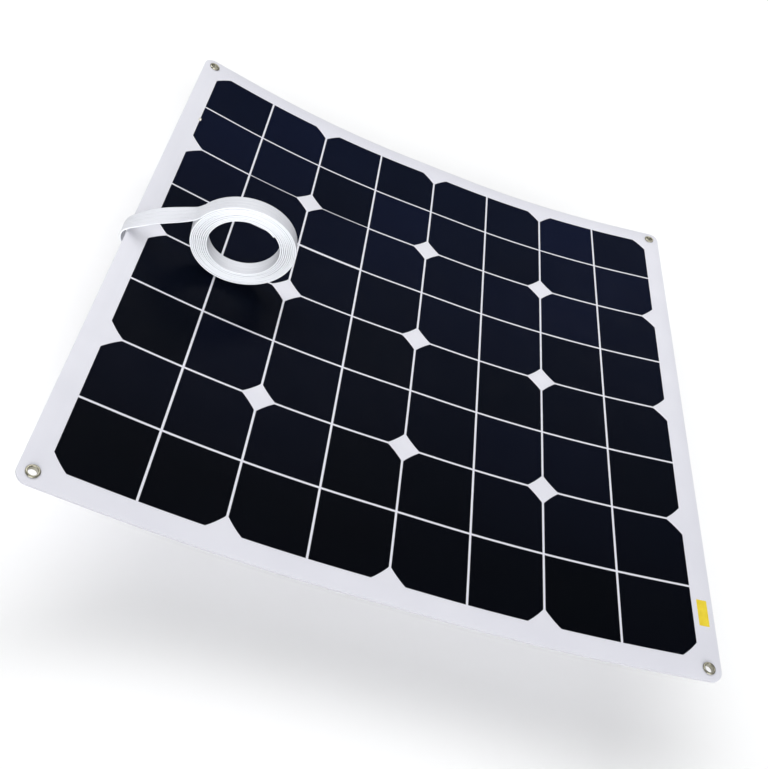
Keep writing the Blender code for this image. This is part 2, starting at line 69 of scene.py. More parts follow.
BENDS = {joint["name"]: Vector(joint["pos_m"]) for joint in frame["joints"]}
COLUMNS = 8                                     # of cells, with as many rows
MIDPLANE = BENDS["bend_4_5"].z                  # middle of the laminate where it lies flat
PITCH = BENDS["bend_5_6"].x                     # from one bend line to the next
# Tilt that each bend line outside the flat middle adds.
STEP = atan2(BENDS["bend_6_7"].z - MIDPLANE, BENDS["bend_6_7"].x - PITCH)
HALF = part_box("backsheet_4")[1].y               # half the side of the square sheet
STEPS = COLUMNS // 2 - 1                        # bend lines outside the flat middle, each side
CORNER_R = 10 * MM                              # of the sheet's outline

# ---- camera ---------------------------------------------------------------------------------

CAMERA_AT = (-0.18627, -0.59722, 0.57672)
CAMERA_AZIMUTH = radians(16.964)                # of the line of sight, from +Y towards +X
CAMERA_DOWN = radians(46.066)
CAMERA_ROLL = radians(31.02)
CAMERA_LENS = 42.49                             # millimetres
CAMERA_SENSOR = 36                              # its width, in millimetres
CAMERA_NEAR = 10 * MM


def add_camera():
    data = bpy.data.cameras.new("camera")
    data.sensor_fit = "HORIZONTAL"
    data.sensor_width = CAMERA_SENSOR
    data.lens = CAMERA_LENS
    data.clip_start = CAMERA_NEAR
    camera = bpy.data.objects.new("camera", data)
    camera.matrix_world = (Matrix.Translation(CAMERA_AT)
                           @ Matrix.Rotation(-CAMERA_AZIMUTH, 4, "Z")
                           @ Matrix.Rotation(pi / 2 - CAMERA_DOWN, 4, "X")
                           @ Matrix.Rotation(CAMERA_ROLL, 4, "Z"))
    bpy.context.scene.collection.objects.link(camera)
    bpy.context.scene.camera = camera


# ---- materials ------------------------------------------------------------------------------

UV = "flat"                                     # UV map in metres, which bends with its piece
NOISE_SPAN = (0.3, 0.7)                         # most of a noise's values lie between these
TONE_DETAIL = 4                                 # octaves of the noise behind patches of tone,
ROUGH_DETAIL = 3                                # of the one behind the roughness
GRAIN_DETAIL = 2                                # and of the one behind the fine grain


class Nodes:
    """A material's node tree with short calls for the nodes used here."""

    def __init__(self, name):
        self.material = bpy.data.materials.new(name)
        self.material.use_nodes = True
        self.tree = self.material.node_tree
        self.shader = self.tree.nodes["Principled BSDF"]

    def node(self, kind, **settings):
        made = self.tree.nodes.new(kind)
        for key, value in settings.items():
            setattr(made, key, value)
        return made

    def link(self, source, target):
        self.tree.links.new(source, target)

    def on_piece(self):
        """Coordinates in metres on the piece while it was flat, from its UV map."""
        return self.node("ShaderNodeUVMap", uv_map=UV).outputs["UV"]

    def in_frame(self):
        """Coordinates in metres in the piece's own frame."""
        return self.node("ShaderNodeTexCoord").outputs["Object"]

    def coordinate(self, place, axis):
        split = self.node("ShaderNodeSeparateXYZ")
        self.link(place, split.inputs["Vector"])
        return split.outputs[axis]

    def vector(self, operation, place, constant=None):
        """The result of a vector operation on a place, and on a constant if it takes one."""
        made = self.node("ShaderNodeVectorMath", operation=operation)
        self.link(place, made.inputs[0])
        if constant is not None:
            made.inputs[1].default_value = constant
        return made.outputs["Value" if operation == "LENGTH" else "Vector"]

    def noise(self, place, size, detail, stretch=None):
        """Noise between 0 and 1 whose features are about size metres across."""
        if stretch:
            mapped = self.node("ShaderNodeMapping")
            mapped.inputs["Scale"].default_value = stretch
            self.link(place, mapped.inputs["Vector"])
            place = mapped.outputs["Vector"]
        made = self.node("ShaderNodeTexNoise")
        made.inputs["Scale"].default_value = 1 / size
        made.inputs["Detail"].default_value = detail
        self.link(place, made.inputs["Vector"])
        return made.outputs["Fac"]

    def blend(self, factor, dark, light, span=NOISE_SPAN):
        """A colour between dark and light as factor crosses the span."""
        ramp = self.node("ShaderNodeValToRGB")
        for stop, position, colour in zip(ramp.color_ramp.elements, span, (dark, light)):
            stop.position = position
            stop.color = (*colour, 1)
        self.link(factor, ramp.inputs["Fac"])
        return ramp.outputs["Color"]

    def ramp(self, factor, start, end, low=0.0, high=1.0):
        """A number from low to high as factor goes from start to end."""
        made = self.node("ShaderNodeMapRange")
        limits = {"From Min": start, "From Max": end, "To Min": low, "To Max": high}
        for key, value in limits.items():
            made.inputs[key].default_value = value
        self.link(factor, made.inputs["Value"])
        return made.outputs["Result"]

    def multiply(self, a, b):
        made = self.node("ShaderNodeMix", data_type="RGBA", blend_type="MULTIPLY")
        made.inputs["Factor"].default_value = 1.0
        self.link(a, made.inputs["A"])
        self.link(b, made.inputs["B"])
        return made.outputs["Result"]

    def mix(self, factor, colour, other):
        """The linked colour, turning to the given other one as factor goes from 0 to 1."""
        made = self.node("ShaderNodeMix", data_type="RGBA")
        self.link(factor, made.inputs["Factor"])
        self.link(colour, made.inputs["A"])
        made.inputs["B"].default_value = (*other, 1)
        return made.outputs["Result"]

    def bump(self, height, depth):
        made = self.node("ShaderNodeBump")
        made.inputs["Distance"].default_value = depth
        self.link(height, made.inputs["Height"])
        self.link(made.outputs["Normal"], self.shader.inputs["Normal"])

    def set(self, **values):
        for key, value in values.items():
            self.shader.inputs[key.replace("_", " ")].default_value = value

    def finish(self, place, colour, patch, rough, grain, depth, detail=GRAIN_DETAIL, stretch=None):
        """The material in this colour, its roughness in patches, its grain of the given depth."""
        self.link(colour, self.shader.inputs["Base Color"])
        patches = self.noise(place, patch, ROUGH_DETAIL)
        self.link(self.ramp(patches, *NOISE_SPAN, *rough), self.shader.inputs["Roughness"])
        self.bump(self.noise(place, grain, detail, stretch), depth)
        return self.material


def surface(name, dark, light, patch, rough, grain, depth, **values):
    """A rigid piece's finish, with patches of tone."""
    made = Nodes(name)
    place = made.in_frame()
    tone = made.blend(made.noise(place, patch, TONE_DETAIL), dark, light)
    made.set(**values)
    return made.finish(place, tone, patch / 3, rough, grain, depth)


EDGE_TONE_AND_SHADE = (0.47, 0.47, 0.51)                  # of the laminate's cut edge: partly its own duller colour, partly painted shade
EDGE_SHADE_INSET = (0.15 * MM, 0.03 * MM)             # from the outline, where the edge's tone and painted shade begin and are full


def laminate_material(name, dark, light, patch, rough, grain, depth):
    """A white layer of the sheet, greyer on its cut edge: partly duller colour, partly painted shade."""
    made = Nodes(name)
    place = made.on_piece()
    face = made.blend(made.noise(place, patch, TONE_DETAIL), dark, light)
    straight = HALF - CORNER_R
    past = made.vector("SUBTRACT", made.vector("ABSOLUTE", place), (straight, straight, 0))
    reach = made.vector("LENGTH", made.vector("MAXIMUM", past, (0, 0, 0)))
    # the cut edge is greyed, partly its own duller colour and partly painted shade against the low front lamp
    edge = made.ramp(reach, *(CORNER_R - inset for inset in EDGE_SHADE_INSET))
    tone = made.mix(edge, face, EDGE_TONE_AND_SHADE)
    return made.finish(place, tone, patch / 3, rough, grain, depth)


CELL_NEAR_PAINTED_REFLECTION = (0.0018, 0.0024, 0.0044)            # silicon at the sheet's near edge, nearly black: the dim end of a painted reflection
CELL_FAR_PAINTED_REFLECTION = (0.0038, 0.0065, 0.0190)             # and at its far edge, bluer: painted reflection
REFLECTION_SPAN = (0.1, 0.9)                        # shares of the way between which the painted reflection changes
CELL_OWN = (0.72, 0.76, 0.70), (1.15, 1.15, 1.30)       # range of each cell's own tint
CELL_CLOUD = (0.86, 0.86, 0.88), (1.0, 1.0, 1.0)        # range of the faint clouds over the cells
CLOUD_SIZE = 90 * MM
CELL_IOR = 1.03                                 # the cells lie in clear resin, almost without gloss
CELL_FINISH = (40 * MM, (0.34, 0.46), 0.25 * MM, 0.003 * MM)


def cell_material():
    """Blue-black silicon, each cell with its own tone; painted reflection bluer towards the far side."""
    made = Nodes("silicon_cell")
    place = made.on_piece()
    # painted reflection: the cells' colour goes from near-black at the near edge to bluer at the far edge
    along = made.ramp(made.coordinate(place, "Y"), -HALF, HALF)
    painted_reflection = made.blend(along, CELL_NEAR_PAINTED_REFLECTION, CELL_FAR_PAINTED_REFLECTION, REFLECTION_SPAN)
    cell = made.vector("FLOOR", made.vector("MULTIPLY", place, Vector((1, 1, 1)) / PITCH))
    chance = made.node("ShaderNodeTexWhiteNoise", noise_dimensions="3D")
    made.link(cell, chance.inputs["Vector"])
    own = made.blend(chance.outputs["Value"], *CELL_OWN, (0.0, 1.0))
    cloud = made.blend(made.noise(place, CLOUD_SIZE, 3), *CELL_CLOUD)
    tone = made.multiply(made.multiply(painted_reflection, own), cloud)
    made.set(IOR=CELL_IOR)
    return made.finish(place, tone, *CELL_FINISH)


FILM_TONES = (0.010, 0.011, 0.014), (0.016, 0.017, 0.022)
FILM_PATCH = 60 * MM
FILM_FINISH = (25 * MM, (0.28, 0.40), 1.4 * MM, 0.012 * MM)
FILM_ALPHA = 0.03
FILM_IOR = 1.4
FILM_SPECULAR = 0.2


def film_material():
    """Clear front film with a soft, slightly orange-peeled gloss."""
    made = Nodes("front_film")
    place = made.on_piece()
    tone = made.blend(made.noise(place, FILM_PATCH, 3), *FILM_TONES)
    made.set(Alpha=FILM_ALPHA, IOR=FILM_IOR, Specular_IOR_Level=FILM_SPECULAR)
    return made.finish(place, tone, *FILM_FINISH, detail=3)


SHEATH_TONES = (0.625, 0.635, 0.675), (0.665, 0.675, 0.715)     # on the lead's flat faces, greyer than the edges' painted light
SHEATH_EDGE_PAINTED_LIGHT = (0.88, 0.905, 0.945)              # painted light along its two rounded edges, which make the roll's side faces
PAINTED_LIGHT_EDGE_V = (6.8 * MM, 7.15 * MM)           # out from the lead's middle, where the edges' painted light begins
SHEATH_PATCH = 45 * MM
SHEATH_ROUGH = (0.42, 0.55)
SHEATH_GRAIN = (0.5 * MM, 0.012 * MM)           # its size and depth
DRAWN_OUT = (0.25, 1, 1)                        # the grain is longer along the lead


def sheath_material():
    """White PVC, with painted light along the lead's two edges, so its flat faces look greyer."""
    made = Nodes("cable_sheath")
    place = made.on_piece()
    face = made.blend(made.noise(place, SHEATH_PATCH, TONE_DETAIL), *SHEATH_TONES)
    # painted light: the lead's edges, which face out of the roll's sides, are lighter than its flat faces
    out = made.coordinate(made.vector("ABSOLUTE", place), "Y")
    tone = made.mix(made.ramp(out, *PAINTED_LIGHT_EDGE_V), face, SHEATH_EDGE_PAINTED_LIGHT)
    return made.finish(place, tone, SHEATH_PATCH / 3, SHEATH_ROUGH, *SHEATH_GRAIN,
                       stretch=DRAWN_OUT)


# A finish holds its dark and light tones, the size of its patches, its range of roughness, and
# the size and depth of its grain.
LAMINATES = {
    "white_backsheet": (
        (0.70, 0.70, 0.755), (0.74, 0.74, 0.79), 70 * MM, (0.42, 0.55), 0.5 * MM, 0.012 * MM),
    "clear_encapsulant": (
        (0.73, 0.73, 0.795), (0.77, 0.77, 0.83), 60 * MM, (0.35, 0.5), 0.8 * MM, 0.01 * MM),
}
METALS = {
    "nickel_plate": (
        (0.24, 0.23, 0.17), (0.45, 0.43, 0.35), 2.5 * MM, (0.24, 0.42), 0.3 * MM, 0.01 * MM),
    "screw_steel": (
        (0.45, 0.46, 0.47), (0.66, 0.66, 0.66), 1.5 * MM, (0.25, 0.4), 0.15 * MM, 0.005 * MM),
    "tinned_copper": (
        (0.60, 0.56, 0.50), (0.78, 0.74, 0.68), 2 * MM, (0.25, 0.4), 0.2 * MM, 0.005 * MM),
    "terminal_brass": (
        (0.55, 0.40, 0.17), (0.74, 0.57, 0.28), 3 * MM, (0.25, 0.4), 0.2 * MM, 0.005 * MM),
}
PLASTICS = {
    "box_plastic": (
        (0.012, 0.012, 0.013), (0.022, 0.022, 0.024), 12 * MM, (0.45, 0.6), 0.35 * MM, 0.05 * MM),
    "adhesive_foam": (
        (0.55, 0.55, 0.53), (0.72, 0.72, 0.70), 1.5 * MM, (0.8, 0.95), 0.4 * MM, 0.15 * MM),
    "gasket_rubber": (
        (0.02, 0.02, 0.02), (0.035, 0.035, 0.035), 5 * MM, (0.7, 0.85), 0.3 * MM, 0.02 * MM),
    "diode_epoxy": (
        (0.012, 0.012, 0.012), (0.022, 0.022, 0.022), 3 * MM, (0.3, 0.45), 0.2 * MM, 0.01 * MM),
    "core_sheath": (*SHEATH_TONES, 20 * MM, SHEATH_ROUGH, *SHEATH_GRAIN),
    "yellow_print": (
        (0.80, 0.60, 0.012), (0.88, 0.69, 0.03), 6 * MM, (0.4, 0.5), 0.4 * MM, 0.004 * MM),
}


def make_materials():
    made = {"silicon_cell": cell_material(), "front_film": film_material(),
            "cable_sheath": sheath_material()}
    made |= {name: laminate_material(name, *finish) for name, finish in LAMINATES.items()}
    made |= {name: surface(name, *finish, Metallic=1.0) for name, finish in METALS.items()}
    made |= {name: surface(name, *finish) for name, finish in PLASTICS.items()}
    return made


# ---- making pieces --------------------------------------------------------------------------

ON_PLANE = 1e-7                                 # closer to a cutting plane counts as on it
OVER = MM                                       # what a drill stands past what it drills


def finished(name, bm, material, sharp=30):
    """An object from a bmesh, smooth across edges flatter than sharp degrees."""
    mesh = bpy.data.meshes.new(name)
    bm.to_mesh(mesh)
    bm.free()
    mesh.materials.append(material)
    mesh.shade_smooth()
    mesh.set_sharp_from_angle(angle=radians(sharp))
    made = bpy.data.objects.new(name, mesh)
    bpy.context.scene.collection.objects.link(made)
    return made


def arc(u, v, radius, start, end, steps, flat=1.0):
    """Points along an arc, or along an ellipse where flat scales its second direction."""
    turns = [start + (end - start) * k / steps for k in range(steps + 1)]
    return [(u + radius * cos(a), v + flat * radius * sin(a)) for a in turns]


def rounded_box(u0, u1, v0, v1, radius, steps=8):
    """A rectangle's outline with rounded corners, each of that many steps."""
    return (arc(u1 - radius, v1 - radius, radius, 0, pi / 2, steps)
            + arc(u0 + radius, v1 - radius, radius, pi / 2, pi, steps)
            + arc(u0 + radius, v0 + radius, radius, pi, 1.5 * pi, steps)
            + arc(u1 - radius, v0 + radius, radius, 1.5 * pi, 2 * pi, steps))


def ring_faces(bm, rings, closed=False):
    """Join each ring of vertices to the next, and the last to the first if closed."""
    count = len(rings)
    for k in range(count if closed else count - 1):
        a, b = rings[k], rings[(k + 1) % count]
        for i in range(len(a)):
            j = (i + 1) % len(a)
            bm.faces.new((a[i], a[j], b[j], b[i]))


def plate_into(bm, outline, low, high):
    """A closed plate with a flat outline, between two heights."""
    rings = [[bm.verts.new((u, v, h)) for u, v in outline] for h in (low, high)]
    ring_faces(bm, rings)
    bm.faces.new(rings[0])
    bm.faces.new(rings[1])


def turned(profile, sides=96, closed=True):
    """A (radius, height) profile spun about +Z: a ring, or a solid capped at the profile's ends."""
    bm = bmesh.new()
    turns = [2 * pi * k / sides for k in range(sides)]
    rings = [[bm.verts.new((r * cos(a), r * sin(a), h)) for a in turns] for r, h in profile]
    ring_faces(bm, rings, closed)
    if not closed:
        bm.faces.new(rings[0])
        bm.faces.new(rings[-1])
    bmesh.ops.recalc_face_normals(bm, faces=bm.faces)
    return bm


def divided(bm, axis, places):
    """Cut the faces along planes square to an axis, so that they can bend there."""
    normal = Vector([1.0 if i == axis else 0.0 for i in range(3)])
    for place in places:
        bmesh.ops.bisect_plane(bm, geom=bm.verts[:] + bm.edges[:] + bm.faces[:], dist=ON_PLANE,
                               plane_co=normal * place, plane_no=normal)


def without(bm, cutters):
    """The solids in bm less those in cutters, as a new bmesh."""
    pair = []
    for solids in (bm, cutters):
        bmesh.ops.recalc_face_normals(solids, faces=solids.faces)
        mesh = bpy.data.meshes.new("cut")
        solids.to_mesh(mesh)
        solids.free()
        pair.append(bpy.data.objects.new("cut", mesh))
        bpy.context.scene.collection.objects.link(pair[-1])
    step = pair[0].modifiers.new("cut", "BOOLEAN")
    step.operation = "DIFFERENCE"
    step.solver = "EXACT"
    step.object = pair[1]
    made = bmesh.new()
    made.from_object(pair[0], bpy.context.evaluated_depsgraph_get())
    for scrap in pair:
        bpy.data.objects.remove(scrap)
    return made


# ---- the sheet's shape ----------------------------------------------------------------------

def across(s, w):
    """(x, z) of a point s across the sheet from its middle and w above its middle plane.

    Between two strip middles the sheet is an arc that touches both strips there.
    """
    side, s = (1, s) if s >= 0 else (-1, -s)
    bends = min(max(s / PITCH - 0.5, 0), STEPS)
    x, z = min(s, PITCH / 2), MIDPLANE
    radius = PITCH / 2 / tan(STEP / 2)
    tilt = 0.0
    while bends > 0:
        turn = min(bends, 1) * STEP
        x += radius * (sin(tilt + turn) - sin(tilt))
        z += radius * (cos(tilt) - cos(tilt + turn))
        tilt += turn
        bends -= 1
    past = max(s - (STEPS + 0.5) * PITCH, 0)
    return side * (x + past * cos(tilt) - w * sin(tilt)), z + past * sin(tilt) + w * cos(tilt)


def on_sheet(s, y, h):
    """The point h above the sheet's back, s across and y along it."""
    x, z = across(s, h - MIDPLANE)
    return Vector((x, y, z))


def strip_middle(k):
    """How far across the flat sheet the middle of strip k lies (1 to COLUMNS)."""
    return (k - (COLUMNS + 1) / 2) * PITCH


def bend_along(s):
    """A point s across the sheet, on its middle plane."""
    return on_sheet(s, 0, MIDPLANE)


def bent(bm):
    """Store each corner's place on the flat sheet as UV and bend the flat solids to the sheet."""
    layer = bm.loops.layers.uv.new(UV)
    for face in bm.faces:
        for loop in face.loops:
            loop[layer].uv = loop.vert.co.xy
    for vert in bm.verts:
        vert.co = on_sheet(*vert.co)


def add_skin(name, flat, material, stands_for):
    """A layer of the whole sheet, as pieces between each two strip middles, bent to the sheet's shape."""
    bmesh.ops.recalc_face_normals(flat, faces=flat.faces)
    for k in range(1, COLUMNS):
        bm = flat.copy()
        for place, open_side, needed in ((strip_middle(k), "clear_inner", k > 1),
                                         (strip_middle(k + 1), "clear_outer", k + 1 < COLUMNS)):
            if needed:
                bmesh.ops.bisect_plane(bm, geom=bm.verts[:] + bm.edges[:] + bm.faces[:],
                                       dist=ON_PLANE, plane_co=(place, 0, 0), plane_no=(1, 0, 0),
                                       **{open_side: True})
        bent(bm)
        piece = finished(f"{name}_{k}_{k + 1}", bm, material)
        bend_along(strip_middle(k))
        bend_along(strip_middle(k + 1))
        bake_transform(piece)
        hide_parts(f"{stands_for}_{k}")
    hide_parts(f"{stands_for}_{COLUMNS}")
    flat.free()


# ---- the lead -------------------------------------------------------------------------------

CORES = 4
CORE_W = 3.6 * MM
CORE_T = 1.34 * MM
SEAM_R = 0.22 * MM                              # rounding of a core where it joins the next
EDGE_R = 0.5 * MM                               # rounding of the lead's two outer edges
ROUNDING_STEPS = 3
ROUTE_STEP = 2.6 * MM                           # from point to point of the free stretch
ROUTE_FINE = 12                                 # points tried between two of the route's own
INTO_COLLAR = 0.8 * MM                          # how deep the lead starts in the collar
TURN_STEP = radians(4)                          # from point to point of the roll
ROLL_YAW = radians(6.3)                         # the roll's plane turned about the vertical
ROLL_AXIS = Vector((-sin(ROLL_YAW), cos(ROLL_YAW), 0))
ROLL_START = radians(150)                       # where the lead joins the roll, from +X
ROLL_TURNS = 9.29
ROLL_OUTER = 43.35 * MM                         # radius to the middle of the outermost turn
ROLL_WIDE = 1.035                               # the roll has slumped into a slight oval
ROLL_FLAT = 0.975
ROLL_SHIFT = -1.0 * MM                          # of its middle, along X
LEAN = radians(24)                              # the lead's far edge leans up towards the roll
LEAN_START = 0.36                               # share of the route where the lean begins
TIGHT_PITCH = 1.42 * MM                         # from turn to turn at the roll's top and bottom
LOOSE_GAP = 0.17 * MM                           # more than that at its sides, in the inner turns
TIGHT_TURNS = 2.5                               # outer turns without such gaps
# How the turns wander along the roll's axis: size in metres, rate along the turn, and phase.
WANDER = ((0.30 * MM, 0.83, 0.0), (0.16 * MM, 2.37, 1.0), (0.10 * MM, 5.1, 0.0))

# Route of the lead's middle from the collar, round the left edge, up to the roll, in millimetres.
LEAD_ROUTE = (
    (-249.7, -9.5, 14.0), (-253.2, -9.5, 14.3), (-257.0, -9.5, 13.8), (-260.8, -9.5, 12.2),
    (-264.5, -9.5, 10.0), (-268.2, -9.5, 8.6), (-272.2, -9.5, 9.0), (-275.8, -9.5, 11.5),
    (-277.9, -9.5, 15.5), (-278.1, -9.5, 20.6), (-276.3, -9.6, 26.0), (-272.5, -9.8, 30.8),
    (-266.8, -10.1, 36.1), (-260.1, -10.6, 41.9), (-252.5, -11.2, 47.9), (-244.5, -11.9, 53.4),
    (-236.5, -12.8, 58.5), (-229.5, -13.9, 63.3), (-223.7, -15.2, 67.7), (-221.3, -15.8, 70.0),
    (-219.4, -16.5, 72.9),
)


def smooth_route(points, step):
    """Points a step apart on the smooth curve through the route's points (Catmull-Rom)."""
    ends = [2 * points[0] - points[1]] + points + [2 * points[-1] - points[-2]]
    fine = []
    for k in range(len(points) - 1):
        a, b, c, d = ends[k:k + 4]
        for i in range(ROUTE_FINE):
            t = i / ROUTE_FINE
            fine.append(0.5 * ((2 * b) + (c - a) * t + (2 * a - 5 * b + 4 * c - d) * t * t
                               + (3 * b - a - 3 * c + d) * t ** 3))
    kept = [fine[0]]
    for point in fine[1:]:
        if (point - kept[-1]).length >= step:
            kept.append(point)
    return kept


def roll_line():
    """The middle of the lead's turns in the roll, from the outermost to the free end inside."""
    low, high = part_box("cable_coil")
    middle = (low + high) / 2 + Vector((ROLL_SHIFT, 0, (ROLL_FLAT - 1) * ROLL_OUTER))
    along = ROLL_WIDE * Vector((cos(ROLL_YAW), sin(ROLL_YAW), 0))
    up = ROLL_FLAT * Vector((0, 0, 1))
    count = round(ROLL_TURNS * 2 * pi / TURN_STEP)
    line = []
    for k in range(count + 1):
        turn = k * TURN_STEP
        angle = ROLL_START - turn
        turns = turn / (2 * pi)
        loose = LOOSE_GAP * max(turns - TIGHT_TURNS, 0) * cos(angle) ** 2
        radius = ROLL_OUTER - TIGHT_PITCH * turns - loose
        slack = sum(size * sin(rate * turn + phase) for size, rate, phase in WANDER)
        settled = min(turn / pi, 1)
        line.append(middle + (along * cos(angle) + up * sin(angle)) * radius
                    + ROLL_AXIS * slack * settled)
    return line


def core_section(core):
    """(width, thickness) corners of one core's section, rounder at the lead's outer edges."""
    left = EDGE_R if core == 0 else SEAM_R
    right = EDGE_R if core == CORES - 1 else SEAM_R
    a, b = CORE_W / 2, CORE_T / 2
    return (arc(a - right, b - right, right, 0, pi / 2, ROUNDING_STEPS)
            + arc(left - a, b - left, left, pi / 2, pi, ROUNDING_STEPS)
            + arc(left - a, left - b, left, pi, 1.5 * pi, ROUNDING_STEPS)
            + arc(a - right, right - b, right, 1.5 * pi, 2 * pi, ROUNDING_STEPS))


def lead_frames(middle, free):
    """The lead's direction across its width and out of its face, at each point of its middle.

    The first free points are the route: there the width turns from the Y axis to the roll's axis,
    and leans on the way.
    """
    widths, outs = [], []
    last = len(middle) - 1
    for k in range(last + 1):
        ahead = (middle[min(k + 1, last)] - middle[max(k - 1, 0)]).normalized()
        share = min(k / free, 1)
        width = Vector((0, 1, 0)).lerp(ROLL_AXIS, share)
        leaning = max(share - LEAN_START, 0) / (1 - LEAN_START)
        lean = Matrix.Rotation(LEAN * sin(pi * leaning), 3, ahead)
        width = lean @ (width - width.dot(ahead) * ahead).normalized()
        widths.append(width)
        outs.append(ahead.cross(width))
    return widths, outs


def swept_core(path, widths, outs, section, offset):
    """A section swept along a path, with UVs of the run along it and the way across the lead."""
    bm = bmesh.new()
    rings = [[bm.verts.new(point + width * a + out * b) for a, b in section]
             for point, width, out in zip(path, widths, outs)]
    ring_faces(bm, rings)
    for end in (rings[0], rings[-1]):
        bm.faces.new(end)
    bmesh.ops.recalc_face_normals(bm, faces=bm.faces)
    run = [0.0]
    for a, b in zip(path, path[1:]):
        run.append(run[-1] + (b - a).length)
    where = {vert: (run[k], offset + section[i][0])
             for k, ring in enumerate(rings) for i, vert in enumerate(ring)}
    layer = bm.loops.layers.uv.new(UV)
    for face in bm.faces:
        for loop in face.loops:
            loop[layer].uv = where[loop.vert]
    return bm


def add_lead(material):
    """Four bonded cores, each a swept strap of the lead's whole length."""
    free = smooth_route([Vector(point) * MM for point in LEAD_ROUTE], ROUTE_STEP)
    free[0] += (free[0] - free[1]).normalized() * INTO_COLLAR
    middle = free + roll_line()
    widths, outs = lead_frames(middle, len(free))
    for core in range(CORES):
        offset = (core - (CORES - 1) / 2) * CORE_W
        path = [point + width * offset for point, width in zip(middle, widths)]
        bm = swept_core(path, widths, outs, core_section(core), offset)
        piece = finished(f"lead_core_{core + 1}", bm, material, sharp=60)
        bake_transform(piece)
        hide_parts("cable_run", "cable_coil")


# ---- layers of the sheet --------------------------------------------------------------------

# Low and high face of each layer, above the sheet's back.
BACKSHEET = (0.0, 1.0 * MM)
ENCAPSULANT = (1.03 * MM, 2.28 * MM)
CELL = (2.30 * MM, 2.36 * MM)
PRINT = (2.29 * MM, 2.34 * MM)
RIBBON = (2.37 * MM, 2.39 * MM)
FILM = (2.40 * MM, 2.75 * MM)
# Rounding of a layer's low and high rim.
BACKSHEET_RIMS = (0.4 * MM, 0.1 * MM)
ENCAPSULANT_RIMS = (0.1 * MM, 0.2 * MM)
FILM_RIMS = (0.05 * MM, 0.25 * MM)
RIM_STEPS = 4
FOLDS = 8                                       # bending steps between two strip middles
CELL_SIDE = 62.6 * MM
WAFER_STEPS = 6                                 # along the wafer's round part of a cell's outline
WAFER_R = 81.2 * MM                             # the round ingot that the wafers are cut from
NUDGED = {(1, 5): 0.8 * MM, (2, 5): 0.8 * MM}   # cells laid a little too far along their column
HOLE_R = 3.9 * MM                               # of an eyelet's hole through the layers
HOLE_SIDES = 40


def eyelet_places():
    """(s, y, side name, edge name) of each eyelet on the flat sheet."""
    inset = HALF - sum(corner.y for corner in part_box("eyelet_far_left")) / 2
    reach = HALF - inset
    return [(side * reach, edge * reach, across_name, along_name)
            for side, across_name in ((-1, "left"), (1, "right"))
            for edge, along_name in ((-1, "near"), (1, "far"))]


def add_layer(name, heights, rims, material, stands_for):
    """A layer with the sheet's outline, rounded corners, low and high rim and eyelet holes."""
    bm = bmesh.new()
    (low, high), (low_r, high_r) = heights, rims
    rim = (arc(low_r, low + low_r, low_r, -pi / 2, -pi, RIM_STEPS)
           + arc(high_r, high - high_r, high_r, pi, pi / 2, RIM_STEPS))
    rings = [[bm.verts.new((u, v, h)) for u, v in
              rounded_box(inset - HALF, HALF - inset, inset - HALF, HALF - inset, CORNER_R - inset)]
             for inset, h in rim]
    ring_faces(bm, rings)
    bm.faces.new(rings[0])
    bm.faces.new(rings[-1])
    drills = bmesh.new()
    for s, y, _, _ in eyelet_places():
        hole = arc(s, y, HOLE_R, 0, 2 * pi, HOLE_SIDES)[:-1]
        plate_into(drills, hole, low - OVER, high + OVER)
    bm = without(bm, drills)
    outer = COLUMNS // 2 * FOLDS
    divided(bm, 0, [k * PITCH / FOLDS for k in range(-outer - 1, outer + 2)])
    divided(bm, 1, [k * PITCH / 2 for k in range(-COLUMNS, COLUMNS + 1)])
    add_skin(name, bm, material, stands_for)


def cell_outline(column, row):
    """A quarter of a wafer: square, with the wafer's rounded-off corner on one side."""
    s, y = ((n - (COLUMNS - 1) / 2) * PITCH for n in (column, row))
    y += NUDGED.get((column, row), 0)
    du, dv = (-1 if n % 2 == 0 else 1 for n in (column, row))
    half, whole = CELL_SIDE / 2, PITCH / 2 + CELL_SIDE / 2
    centre_u, centre_v = s - du * PITCH / 2, y - dv * PITCH / 2
    short = sqrt(WAFER_R ** 2 - whole ** 2)
    first, last = atan2(short, whole), atan2(whole, short)
    corner = arc(0, 0, WAFER_R, first, last, WAFER_STEPS)
    rounded = [(centre_u + du * a, centre_v + dv * b) for a, b in corner]
    return ([(s - du * half, y - dv * half), (s + du * half, y - dv * half)] + rounded
            + [(s - du * half, y + dv * half)])


def add_cells(material):
    """All the cells, which bend with the sheet."""
    bm = bmesh.new()
    for column in range(COLUMNS):
        for row in range(COLUMNS):
            plate_into(bm, cell_outline(column, row), *CELL)
    outer = COLUMNS // 2 * FOLDS
    divided(bm, 0, [k * PITCH / FOLDS for k in range(-outer, outer + 1) if k % FOLDS])
    add_skin("cells", bm, material, "cell_string")


def add_print(name, outline, heights, material, body):
    """A thin patch under the front film, on the rigid outer half of strip 1 or 8."""
    bm = bmesh.new()
    plate_into(bm, outline, *heights)
    bent(bm)
    bmesh.ops.recalc_face_normals(bm, faces=bm.faces)
    piece = finished(name, bm, material)
    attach(piece, body)


# ---- eyelets --------------------------------------------------------------------------------

BORE_R = 3.3 * MM
BARREL_R = 3.6 * MM
FLANGE_R = 5.2 * MM
CURL_R = 0.7 * MM                               # of the barrel's lip, rolled over the washer
CURL_FLAT = 0.85                                # the lip is pressed a little flat
CURL_STEPS = 12
CROWN = 0.95 * MM                               # height of the flange over the film
CROWN_R = (3.9 * MM, 4.2 * MM)                  # where the top of the flange is level
CROWN_STEPS = 8
SEAT = 0.02 * MM                                # between pieces that rest on each other
WASHER_T = 0.6 * MM
WASHER_EDGE_R = 0.2 * MM


def strip_frame(side):
    """Where (u from the last bend line, v, h above the back) is, on strip 1 (-1) or strip 8 (1)."""
    bend = BENDS["bend_1_2" if side < 0 else "bend_7_8"]
    return (Matrix.Translation(bend) @ Matrix.Rotation(-side * STEPS * STEP, 4, "Y")
            @ Matrix.Translation((0, 0, -MIDPLANE)))


